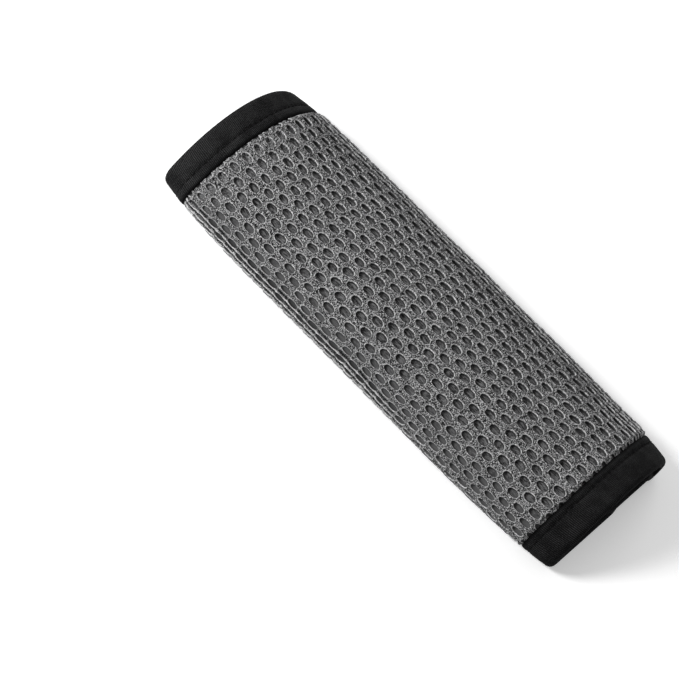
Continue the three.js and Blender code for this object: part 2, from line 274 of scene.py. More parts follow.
class Outline:
    """The panel's cut edge as a closed line, with the way inwards at each of its places."""

    def __init__(self, panel: Panel, step: float) -> None:
        """Lays the places out.

        Args:
            panel: the panel.
            step: about how far apart the places are.
        """
        self.panel = panel
        half = panel.half_length
        outer, inner = panel.outer_edge, panel.inner_edge
        big, small = panel.outer_corner, panel.inner_corner
        runs = [
            self._side((-outer + big, -half), (inner - small, -half), step),
            self._corner((inner - small, -half + small), small, -90, step),
            self._side((inner, -half + small), (inner, half - small), step),
            self._corner((inner - small, half - small), small, 0, step),
            self._side((inner - small, half), (-outer + big, half), step),
            self._corner((-outer + big, half - big), big, 90, step),
            self._side((-outer, half - big), (-outer, -half + big), step),
            self._corner((-outer + big, -half + big), big, 180, step),
        ]
        places = np.concatenate(runs)
        gaps = np.linalg.norm(np.roll(places, -1, 0)[:, :2] - places[:, :2], axis=1)
        self.distance = np.concatenate([[0], np.cumsum(gaps)])
        self.length = float(self.distance[-1])
        self.closed = np.vstack([places, places[:1]])

    @staticmethod
    def _side(a: Span, b: Span, step: float) -> Array:
        """Places along a straight side, without its last, and the way inwards, which is on its left.

        Args:
            a: where the side starts.
            b: where it ends.
            step: about how far apart the places are.

        Returns:
            For each place p, v and the way inwards.
        """
        a, b = np.array(a), np.array(b)
        reach = np.linalg.norm(b - a)
        count = round(reach / step)
        along = (b - a) / reach
        left = np.array([-along[1], along[0]])
        return np.hstack([a + np.outer(np.arange(count) / count, b - a), np.tile(left, (count, 1))])

    @staticmethod
    def _corner(middle: Span, radius: float, start: float, step: float) -> Array:
        """Places round a quarter turn, without its last, and the way to its middle.

        Args:
            middle: the turn's middle.
            radius: its radius.
            start: where it starts, in degrees.
            step: about how far apart the places are.

        Returns:
            For each place p, v and the way to the middle.
        """
        count = round(radius * math.pi / 2 / step)
        angle = np.radians(start + 90 * np.arange(count) / count)
        way = np.stack([np.cos(angle), np.sin(angle)], 1)
        return np.hstack([np.array(middle) + radius * way, -way])

    def at(self, s: Array, inset: Array) -> tuple[Array, Array]:
        """The places at distances along the edge and an inset from it.

        Args:
            s: distances along the edge.
            inset: how far inwards.

        Returns:
            u and v of each place.
        """
        s = np.asarray(s) % self.length
        p, v, in_p, in_v = (np.interp(s, self.distance, column) for column in self.closed.T)
        p, v = p + inset * in_p, v + inset * in_v
        return p * self.panel.ease(v), v


class Value:
    """A number that a shader works out, written in sums as a float is."""

    def __init__(self, shader: "Shader", socket: bpy.types.NodeSocket) -> None:
        """Wraps a socket of a shader."""
        self.shader = shader
        self.socket = socket

    def __add__(self, other: "Value | float") -> "Value":
        """The sum."""
        return self.shader.maths("ADD", self, other)

    def __radd__(self, other: float) -> "Value":
        """The sum, with a number first."""
        return self.shader.maths("ADD", other, self)

    def __sub__(self, other: "Value | float") -> "Value":
        """The difference."""
        return self.shader.maths("SUBTRACT", self, other)

    def __rsub__(self, other: float) -> "Value":
        """The difference, with a number first."""
        return self.shader.maths("SUBTRACT", other, self)

    def __mul__(self, other: "Value | float") -> "Value":
        """The product."""
        return self.shader.maths("MULTIPLY", self, other)

    def __rmul__(self, other: float) -> "Value":
        """The product, with a number first."""
        return self.shader.maths("MULTIPLY", other, self)

    def __truediv__(self, other: "Value | float") -> "Value":
        """The quotient."""
        return self.shader.maths("DIVIDE", self, other)

    def __rtruediv__(self, other: float) -> "Value":
        """The quotient, with a number first."""
        return self.shader.maths("DIVIDE", other, self)

    def __abs__(self) -> "Value":
        """The size without its sign."""
        return self.shader.maths("ABSOLUTE", self)

    def sine(self) -> "Value":
        """The sine of an angle in radians."""
        return self.shader.maths("SINE", self)

    def wave(self) -> "Value":
        """A wave from 0 to 1, of an angle in radians."""
        return self.sine() * 0.5 + 0.5

    def least(self, other: "Value | float") -> "Value":
        """The smaller of the two."""
        return self.shader.maths("MINIMUM", self, other)

    def most(self, other: "Value | float") -> "Value":
        """The larger of the two."""
        return self.shader.maths("MAXIMUM", self, other)

    def rise(self, low: float, high: float) -> "Value":
        """Rises smoothly from 0 where this is low to 1 where it is high; low may be the larger.

        Args:
            low: where the rise starts.
            high: where it ends.

        Returns:
            The rise.
        """
        inputs = {"Value": self, "From Min": low, "From Max": high, "To Min": 0.0, "To Max": 1.0}
        node = self.shader.node("MapRange", {"interpolation_type": "SMOOTHSTEP"}, inputs)
        return Value(self.shader, node.outputs["Result"])


class Shader:
    """Builds the nodes of one material, or of the room."""

    def __init__(self, owner: bpy.types.Material | bpy.types.World) -> None:
        """Clears the nodes of a new material or world.

        Args:
            owner: the material or world.
        """
        self.owner = owner
        owner.use_nodes = True
        self.tree = owner.node_tree
        self.tree.nodes.clear()

    @classmethod
    def named(cls, name: str) -> "Shader":
        """Starts a new material of that name."""
        return cls(bpy.data.materials.new(name))

    def node(self, kind: str, settings: dict | None = None, inputs: dict | None = None) -> bpy.types.Node:
        """Adds a node.

        Args:
            kind: its type, without the leading ShaderNode.
            settings: its own settings, which are set first.
            inputs: a value or a link for each named or numbered socket.

        Returns:
            The node.
        """
        made = self.tree.nodes.new("ShaderNode" + kind)
        for key, value in (settings or {}).items():
            setattr(made, key, value)
        for key, value in (inputs or {}).items():
            source = value.socket if isinstance(value, Value) else value
            if isinstance(source, bpy.types.NodeSocket):
                self.tree.links.new(source, made.inputs[key])
            elif made.inputs[key].type == "RGBA":
                made.inputs[key].default_value = (*source, 1.0)
            else:
                made.inputs[key].default_value = source
        return made

    def maths(self, operation: str, *values: "Value | float") -> Value:
        """Adds a Math node on one or two values."""
        node = self.node("Math", {"operation": operation}, dict(enumerate(values)))
        return Value(self, node.outputs[0])

    def vector(self, operation: str, a: object, b: object) -> bpy.types.NodeSocket:
        """Adds a Vector Math node on two vectors."""
        return self.node("VectorMath", {"operation": operation}, {0: a, 1: b}).outputs[0]

    def reach(self, x: Value, y: Value) -> Value:
        """The length of a vector of two numbers."""
        return self.maths("SQRT", x * x + y * y)

    def mix(self, factor: "Value | float", a: object, b: object) -> bpy.types.NodeSocket:
        """The mix of two colours, from the first at factor 0 to the second at factor 1."""
        return self.node("Mix", {"data_type": "RGBA"}, {0: factor, 6: a, 7: b}).outputs[2]

    def chart(self, name: str) -> tuple[Value, Value, bpy.types.NodeSocket]:
        """A UV map of the piece's, as its two numbers and its vector.

        Args:
            name: the map's name.

        Returns:
            Its first number, its second, and the vector.
        """
        out = self.node("UVMap", {"uv_map": name}).outputs["UV"]
        split = self.node("SeparateXYZ", None, {0: out})
        return Value(self, split.outputs[0]), Value(self, split.outputs[1]), out

    def noise(self, place: object, scale: float, detail: float = 2.0, rough: float = 0.5) -> Value:
        """Soft noise from 0 to 1 at a place, with its scale per unit of the place."""
        inputs = {"Vector": place, "Scale": scale, "Detail": detail, "Roughness": rough}
        return Value(self, self.node("TexNoise", None, inputs).outputs[0])

    def bump(self, height: Value, distance: float) -> bpy.types.NodeSocket:
        """A normal from a height of 0 to 1, where 1 is the distance in metres."""
        return self.node("Bump", None, {"Height": height, "Distance": distance, "Strength": 1.0}).outputs[0]

    def seen(self) -> Value:
        """1 for the camera's rays, mirrored and passed on ones too, and 0 for those that carry light."""
        path = self.node("LightPath").outputs
        rays = [Value(self, path[name]) for name in ("Is Camera Ray", "Is Glossy Ray", "Is Transmission Ray")]
        return (rays[0] + rays[1] + rays[2]).least(1.0)

    def cloth(
        self,
        colour: bpy.types.NodeSocket,
        normal: bpy.types.NodeSocket,
        roughness: "Value | float",
        specular: float,
        sheen: float = 0.0,
    ) -> bpy.types.Material:
        """Ends the material as a cloth.

        Args:
            colour: its colour.
            normal: the bumped normal.
            roughness: its roughness.
            specular: how much it shines.
            sheen: how much its fibres catch the light at grazing angles.

        Returns:
            The material.
        """
        inputs = {
            "Base Color": colour,
            "Roughness": roughness,
            "Specular IOR Level": specular,
            "Sheen Weight": sheen,
            "Sheen Roughness": 0.5,
            "Normal": normal,
        }
        surface = self.node("BsdfPrincipled", None, inputs).outputs[0]
        self.node("OutputMaterial", None, {"Surface": surface})
        return self.owner


@dataclass(frozen=True)
class HolePlace:
    """Where a point of the air mesh lies in its cell, for a shader.

    ring is 1 on the hole's lip and less inside, from_lip is the distance outwards in millimetres, and
    angle goes round the hole's middle.
    """

    ring: Value
    from_lip: Value
    angle: Value

    @classmethod
    def read(cls, s: Shader, panel: bpy.types.NodeSocket, hole: Span) -> "HolePlace":
        """Works the place out, a little askew as in cloth.

        Args:
            s: the shader.
            panel: the place over the panel.
            hole: half the width and half the length of a hole, in millimetres.

        Returns:
            The place.
        """
        elsewhere = s.vector("ADD", panel, (31.0, 17.0, 0.0))
        x, y, _ = s.chart("cell")
        x = x + (s.noise(panel, 0.55) - 0.5) * 0.5
        y = y + (s.noise(elsewhere, 0.55) - 0.5) * 0.5
        round_x, round_y = x / hole[0], y / hole[1]
        ring = s.reach(round_x, round_y)
        from_lip = (1 - 1 / ring.most(0.05)) * s.reach(x, y)
        return cls(ring, from_lip, s.maths("ARCTAN2", round_y, round_x))


@dataclass(frozen=True)
class AirMeshFinish:
    """Grey air mesh: light knit round long holes, over a darker streaked back.

    A span is a stretch of the panel, across it or along it in millimetres, over which a look sets in; most of
    these looks are painted shade or painted highlight.
    """

    # thread: a lighter yarn round the holes, brightened to near white as a painted highlight on their lips
    thread: Colour = (0.92, 0.92, 0.928)
    loop: Colour = (0.8, 0.8, 0.807)
    eyelet: Colour = (0.006, 0.006, 0.0063)
    back: Colour = (0.145, 0.145, 0.147)
    back_dark: Colour = (0.006, 0.006, 0.0063)
    # wall: painted shade on the holes' walls, a near black below the lip
    wall: Colour = (0.03, 0.03, 0.0305)
    # pale: a grey that lifts the painted shade in the holes on the crown's outer slope
    pale: Colour = (0.17, 0.17, 0.172)
    eyelet_ring: float = 0.8
    eyelets: int = 17
    grain: float = 2.9
    # painted shade on the side of the crown turned from the key light: the light thread and the hole floors
    # darken there
    painted_side_shade: Span = (10.0, 32.0)
    # painted shade in the holes on the crown's outer slope
    hole_shade_outer_slope: Span = (26.0, 42.0)
    # slit: painted shade at the outer fold's edge, where the holes show as dark slits
    slit: Span = (41.5, 46.0)
    slit_along: Span = (40.0, 10.0)
    # pleat and corner spans: where the pleats' painted highlights and furrow shade set in
    pleat: Span = (24.0, 38.0)
    corner: Span = (14.0, 28.0)
    corner_along: Span = (50.0, 84.0)
    # painted shade in the furrows between the columns of holes, over the side and the pleats
    furrow_shade: Span = (20.0, 36.0)
    # painted light: near the far end the holes are lifted towards the knit's colour, as if less shaded
    eased_hole_shade: Span = (18.0, -4.0)
    eased_hole_shade_along: Span = (-72.0, -86.0)

    def material(self, hole: Span, columns: Span) -> bpy.types.Material:
        """Builds the finish.

        Args:
            hole: half the width and half the length of a hole, in millimetres.
            columns: how far apart the columns of holes are, and where one of them lies.

        Returns:
            The material. It reads the maps cell, in millimetres from a hole's middle, and panel, in
            millimetres over the panel, and the attribute pit, from 0 on the face to 1 on the floor.
        """
        s = Shader.named("air_mesh")
        across, down, panel = s.chart("panel")
        place = HolePlace.read(s, panel, hole)
        fuzz = s.noise(panel, 2.2, 3.0, 0.7)
        grain = s.noise(panel, 1.1, 2.0, 0.6)
        pit = Value(s, s.node("Attribute", {"attribute_name": "pit"}).outputs["Fac"])

        painted_side_shade = across.rise(*self.painted_side_shade)
        # painted shade at the outer fold's edge: hole floors, their pale lift and the light thread darken
        # there
        slit = (across * -1.0).rise(*self.slit) * down.rise(*self.slit_along)
        corner = across.rise(*self.corner) * down.rise(*self.corner_along)
        pleated = across.rise(*self.pleat).most(corner).most(slit)
        trough = ((across - columns[1]) * (2 * math.pi / columns[0]) + math.pi / 2).wave()
        # painted highlight on the pleats' crests; the same mask also raises the bump
        crest = trough.rise(0.3, 0.0) * pleated
        furrow_shade = trough.rise(0.3, 0.85) * across.rise(*self.furrow_shade).most(pleated)

        knots = s.node("TexVoronoi", {"feature": "F1"}, {"Vector": panel, "Scale": self.grain})
        loops = Value(s, knots.outputs["Distance"]).rise(0.75, 0.15)
        each = Value(s, s.node("SeparateXYZ", None, {0: knots.outputs["Color"]}).outputs[0])
        # the light thread, dimmed by painted shade on the side turned from the light and at the outer fold's
        # edge
        lit = self._rim_highlight(place, fuzz, grain) * (1 - painted_side_shade * 0.85) * (1 - slit * 0.8)
        eyelets = self._eyelets(place, fuzz, grain)
        knit = s.mix(loops * (each * 1.05 + 0.05), self.eyelet, self.loop)
        knit = s.mix(eyelets * 0.5, knit, self.eyelet)
        # painted shade: the furrows darken towards the eyelets' near black
        knit = s.mix(furrow_shade * 0.85, knit, self.eyelet)
        # the light thread, with the painted highlight on the crests mixed in
        knit = s.mix((lit + crest * (fuzz.rise(0.3, 0.6) * 0.5 + 0.08)).least(1.0), knit, self.thread)

        stripe = s.noise(s.vector("MULTIPLY", panel, (1.7, 0.42, 0.0)), 1.0, 2.0, 0.6)
        floor = s.mix((stripe + (fuzz - 0.5) * 0.5).rise(0.3, 0.72), self.back_dark, self.back)
        # painted shade: on the crown's outer slope the hole floors give way to the wall's dark colour, lifted
        # a little towards pale
        away = (across * -1.0).rise(*self.hole_shade_outer_slope)
        bare = pit.rise(0.9, 1.0) * place.ring.rise(0.98, 0.84) * (1 - away * 0.85) * (1 - painted_side_shade * 0.5)
        # a hole shows the streaked back where its floor is bare, and the wall's painted shade elsewhere
        deep = s.mix(bare * (1 - slit * 0.8), self.wall, floor)
        deep = s.mix(away * (1 - slit) * 0.28, deep, self.pale)
        # painted light: the holes near the far end are lifted towards the knit, as if less shaded
        deep = s.mix(across.rise(*self.eased_hole_shade) * down.rise(*self.eased_hole_shade_along) * 0.45, deep, knit)
        ragged = (pit + (fuzz - 0.5) * 0.8).rise(0.12, 0.5)
        colour = s.mix(ragged * pit.rise(0.0, 0.1), knit, deep)

        raised = lit * 0.4 + crest * 0.3 + loops * 0.35 * (1 - eyelets) + fuzz * 0.25
        height = raised * (1 - pit) + stripe * pit * 0.25
        return s.cloth(colour, s.bump(height, 0.3 * MM), 0.8, 0.1)

    def _rim_highlight(self, place: HolePlace, fuzz: Value, grain: Value) -> Value:
        """How much of the light thread round a hole shows: a broken, twisted band along its lip, a lighter
        yarn brightened as a painted highlight.

        Args:
            place: the place in the cell.
            fuzz: the fine noise.
            grain: the coarser noise.

        Returns:
            The share of light thread.
        """
        twist = (place.angle * 24.0 + place.from_lip * 9.0 + grain * 6.0).wave()
        band = abs(place.from_lip - 0.15 + (fuzz - 0.5) * 0.2).rise(0.18, 0.04)
        return band * (twist * 0.3 + 0.42) * (grain.rise(0.35, 0.6) * 0.8 + fuzz.rise(0.4, 0.6) * 0.6)

    def _eyelets(self, place: HolePlace, fuzz: Value, grain: Value) -> Value:
        """How dark the small gaps in the knit are, in one ring round a hole and in a second beyond it.

        Args:
            place: the place in the cell.
            fuzz: the fine noise.
            grain: the coarser noise.

        Returns:
            1 in a gap and 0 between them.
        """
        row = abs(place.from_lip - self.eyelet_ring + (fuzz - 0.5) * 0.3).rise(0.36, 0.05)
        near = (place.angle * float(self.eyelets) + grain * 5.0).sine().rise(0.0, 0.6) * row
        beyond = (place.angle * float(self.eyelets + 5) + grain * 7.0 + 2.0).sine().rise(0.2, 0.7)
        return near.most(beyond * place.from_lip.rise(1.05, 1.35))


@dataclass(frozen=True)
class TapeFinish:
    """Black binding tape, woven with fine ribs across it, with painted sheen on the ribs that is brighter
    along one end, and painted shadow near its inner edge.
    """

    colour: Colour = (0.0015, 0.0015, 0.0016)
    # painted sheen on the ribs' tops, with the fibres' grain
    rib_sheen: Colour = (0.06, 0.06, 0.0613)
    sheen_share_elsewhere: float = 0.66
    # painted light along the far end, where the rib sheen is full; elsewhere only a share of it shows
    lit_end_along: Span = (210.0, 185.0)
    rib_pitch: float = 0.72

    def material(self) -> bpy.types.Material:
        """Builds the finish. It reads the map tape, in millimetres along the edge and round it."""
        s = Shader.named("binding_tape")
        along, over, place = s.chart("tape")
        turns = 2 * math.pi / self.rib_pitch
        rib = ((along + s.noise(place, 0.09) * 1.6) * turns).wave()
        pick = ((over * 2.0 + (along * (turns / 2)).sine() * 0.2) * turns).wave()
        fuzz = s.noise(place, 2.6, 3.0, 0.65)
        ribbed = s.noise(place, 0.16).rise(0.3, 0.7) * 0.5 + 0.5
        # painted shadow: the sheen fades to black near the tape's inner edge on its outer face
        lit = (rib * ribbed * 0.6 + (fuzz - 0.5) * 2.0 + 0.2).rise(0.15, 1.15) * over.rise(0.0, 2.0)
        # painted light: full rib sheen along the far end, less elsewhere
        lit = lit * (along.rise(*self.lit_end_along) * (1 - self.sheen_share_elsewhere) + self.sheen_share_elsewhere)
        height = rib * ribbed * 0.6 + pick * 0.15 + fuzz * 0.25
        colour = s.mix(lit, self.colour, self.rib_sheen)
        return s.cloth(colour, s.bump(height, 0.22 * MM), 0.62 + fuzz * 0.2, 0.015)


@dataclass(frozen=True)
class KnitFinish:
    """A plain black knitted cloth, with fine loops in rows."""

    name: str
    colour: Colour
    light: Colour
    loop_across: float = 0.9
    loop_along: float = 0.8

    def material(self) -> bpy.types.Material:
        """Builds the finish. It reads the map panel, in millimetres."""
        s = Shader.named(self.name)
        across, along, place = s.chart("panel")
        wale = abs((across * (2 * math.pi / self.loop_across)).sine())
        row = ((along + wale * (self.loop_along * 0.35)) * (2 * math.pi / self.loop_along)).wave()
        loop = (wale * 0.6 + row * 0.4) * 0.8 + s.noise(place, 2.2, 3.0, 0.65) * 0.2
        cloudy = s.noise(place, 0.12)
        colour = s.mix((loop * 0.6 + cloudy * 0.5).rise(0.2, 1.1), self.colour, self.light)
        return s.cloth(colour, s.bump(loop, 0.12 * MM), 0.85, 0.2, 0.03)


@dataclass(frozen=True)
class FoamFinish:
    """Dark open-cell foam."""

    colour: Colour = (0.035, 0.035, 0.037)
    cell: Colour = (0.008, 0.008, 0.009)

    def material(self) -> bpy.types.Material:
        """Builds the finish. It reads the map panel, in millimetres."""
        s = Shader.named("foam")
        _, _, place = s.chart("panel")
        cells = s.node("TexVoronoi", {"feature": "DISTANCE_TO_EDGE"}, {"Vector": place, "Scale": 1.6})
        skin = Value(s, cells.outputs["Distance"]).rise(0.3, 0.02)
        colour = s.mix(skin, self.cell, self.colour)
        return s.cloth(colour, s.bump(skin, 0.2 * MM), 0.95, 0.3, 0.05)


@dataclass(frozen=True)
class ThreadFinish:
    """Twisted black sewing thread."""

    colour: Colour = (0.0015, 0.0015, 0.0016)
    light: Colour = (0.008, 0.008, 0.0082)

    def material(self) -> bpy.types.Material:
        """Builds the finish. It reads the map thread: millimetres along the edge, and turns round it."""
        s = Shader.named("sewing_thread")
        along, around, place = s.chart("thread")
        twist = (along * 11.0 + around * 6.0).wave()
        colour = s.mix(twist * s.noise(place, 2.0), self.colour, self.light)
        return s.cloth(colour, s.bump(twist, 0.05 * MM), 0.6, 0.02)


@dataclass(frozen=True)
class BristleFinish:
    """Black moulded or brushed fibres of the closing strips."""

    colour: Colour
    light: Colour
    roughness: float

    def material(self, name: str) -> bpy.types.Material:
        """Builds the finish under that name. It reads the map panel, in millimetres.

        Args:
            name: the material's name.

        Returns:
            The material.
        """
        s = Shader.named(name)
        across, along, place = s.chart("panel")
        weave = (across * 9.0).sine() * (along * 9.0).sine() * 0.5 + 0.5
        fuzz = s.noise(place, 1.8, 3.0, 0.6)
        colour = s.mix(weave * 0.4 + fuzz * 0.5, self.colour, self.light)
        return s.cloth(colour, s.bump(weave * 0.5 + fuzz * 0.5, 0.1 * MM), self.roughness, 0.2, 0.02)


@dataclass(frozen=True)
class FloorFinish:
    """A plain white floor that keeps the pad's shadow, and is brighter farther away."""

    colour: Colour = (0.86, 0.86, 0.86)
    speck: Colour = (0.8, 0.8, 0.8)
    glow: float = 0.36
    bright: Span = (0.2, 0.9)

    def material(self) -> bpy.types.Material:
        """Builds the finish, which is a little brighter to the camera than the lamps alone make it."""
        s = Shader.named("floor")
        place = s.node("TexCoord").outputs["Object"]
        away = Value(s, s.node("VectorMath", {"operation": "LENGTH"}, {0: place}).outputs["Value"])
        seen = s.seen() * (away.rise(*self.bright) * (1 - self.glow) + self.glow)
        colour = s.mix(s.noise(place, 40.0) * 0.02, self.colour, self.speck)
        surface = s.node("BsdfDiffuse", None, {"Color": colour}).outputs[0]
        light = s.node("Emission", None, {"Color": WHITE, "Strength": seen}).outputs[0]
        both = s.node("AddShader", None, {0: surface, 1: light}).outputs[0]
        s.node("OutputMaterial", None, {"Surface": both})
        return s.owner


class MeshDraft:
    """Collects the points, faces and maps of one piece, and makes its object."""

    def __init__(self, name: str) -> None:
        """Starts an empty piece of that name.

        Args:
            name: the piece's name.
        """
        self.name = name
        self.points: list[Array] = []
        self.faces: list[list[int]] = []
        self.charts: dict[str, list[Array]] = {}
        self.fields: dict[str, list[Array]] = {}
        self.count = 0

    def add_points(self, points: Array, **fields: float) -> int:
        """Adds points.

        Args:
            points: the points, one in each row.
            fields: a number that holds for all of them, by the attribute's name.

        Returns:
            The number of the first of them.
        """
        first = self.count
        self.points.append(points)
        self.count += len(points)
        for name, value in fields.items():
            self.fields.setdefault(name, []).append(np.full(len(points), value))
        return first

    def add_faces(self, faces: Array, **charts: Array) -> None:
        """Adds faces with as many corners each.

        Args:
            faces: the numbers of each face's points, in the last axis.
            charts: two numbers for each corner of each face, by the map's name.
        """
        self.faces.extend(faces.reshape(-1, faces.shape[-1]).tolist())
        for name, places in charts.items():
            self.charts.setdefault(name, []).append(places.reshape(-1, 2))

    def add_sheet(self, panel: Panel, u: Array, v: Array, high: Array | float, low: Array | float) -> None:
        """Adds a closed sheet on a grid of places of the panel: two faces and the rim between them.

        Args:
            panel: the panel.
            u: across the panel, with a row of the grid in each row.
            v: along the belt.
            high: w of the face that looks outwards.
            low: w of the other face.
        """
        rows, columns = u.shape
        chart = np.stack([u, v], -1).reshape(-1, 2) / MM
        for w, turned in ((high, True), (low, False)):
            first = self.add_points(panel.place(u, v, w))
            faces = grid_faces(rows, columns, turned)
            self.add_faces(first + faces, panel=chart[faces])
        number = np.arange(rows * columns).reshape(rows, columns)
        rim = np.concatenate([number[0], number[1:, -1], number[-1, -2::-1], number[-2:0:-1, 0]])
        onward = np.roll(rim, -1)
        top, under = first - rows * columns, first
        sides = np.stack([top + rim, top + onward, under + onward, under + rim], 1)
        self.add_faces(sides, panel=chart[np.stack([rim, onward, onward, rim], 1)])

    def make(self, material: bpy.types.Material) -> bpy.types.Object:
        """Makes the object.

        Args:
            material: its finish.

        Returns:
            The object, smooth shaded.
        """
        mesh = bpy.data.meshes.new(self.name)
        mesh.from_pydata(np.concatenate(self.points).tolist(), [], self.faces)
        for name, places in self.charts.items():
            layer = mesh.uv_layers.new(name=name, do_init=False)
            layer.uv.foreach_set("vector", np.concatenate(places).astype(np.float32).ravel())
        for name, values in self.fields.items():
            attribute = mesh.attributes.new(name, "FLOAT", "POINT")
            attribute.data.foreach_set("value", np.concatenate(values).astype(np.float32))
        mesh.shade_smooth()
        mesh.materials.append(material)
        made = bpy.data.objects.new(self.name, mesh)
        bpy.context.scene.collection.objects.link(made)
        return made


def report(piece: bpy.types.Object) -> None:
    """Logs a piece's name and triangles."""
    piece.data.calc_loop_triangles()
    LOG.info("%s: %d triangles", piece.name, len(piece.data.loop_triangles))


def grid_faces(rows: int, columns: int, turned: bool = False) -> Array:
    """The quads of a grid of points that were added row by row.

    Args:
        rows: how many rows it has.
        columns: how many points a row has.
        turned: whether the quads face the other way.

    Returns:
        The corners of each quad, one quad in each row.
    """
    number = np.arange(rows * columns).reshape(rows, columns)
    corners = [number[:-1, :-1], number[:-1, 1:], number[1:, 1:], number[1:, :-1]]
    quads = np.stack([x.ravel() for x in corners], 1)
    return quads[:, ::-1] if turned else quads


@dataclass(frozen=True)
class HoleRing:
    """A ring of points round a hole.

    It has a share of the lip's size and lies some way beyond that. Its height is over the mesh's face,
    and its pit is 0 on the face and 1 on the hole's floor.
    """

    share: float
    beyond: float
    height: float
    pit: float


@dataclass(frozen=True)
class Cells:
    """The lattice's cells: their middles in the even knit, and how each hole differs from the others."""

    middle: Array
    swell: Array
    turn: Array
    sink: Array

    @classmethod
    def drawn(cls, middle: Array) -> "Cells":
        """Gives the holes round the middles a slightly different size, lean and depth each.

        Args:
            middle: the cells' middles, one in each row.

        Returns:
            The cells.
        """
        draw = np.random.default_rng(SEED)
        swell = 1 + draw.normal(0, 0.022, (len(middle), 1, 1))
        lean = draw.normal(0, 0.06, len(middle))
        sink = 1 + draw.normal(0, 0.08, len(middle))
        turn = np.stack([np.cos(lean), -np.sin(lean), np.sin(lean), np.cos(lean)], 1)
        return cls(middle, swell, turn.reshape(-1, 1, 2, 2), sink)

    def some(self, chosen: Array) -> "Cells":
        """The chosen ones of the cells."""
        return Cells(self.middle[chosen], self.swell[chosen], self.turn[chosen], self.sink[chosen])

    def places(self, local: Array) -> tuple[Array, Array]:
        """Where places round a hole's middle lie in the even knit, with a row for each cell."""
        turned = (self.turn @ (local * self.swell)[..., None])[..., 0]
        return self.middle[:, None, 0] + turned[..., 0], self.middle[:, None, 1] + turned[..., 1]


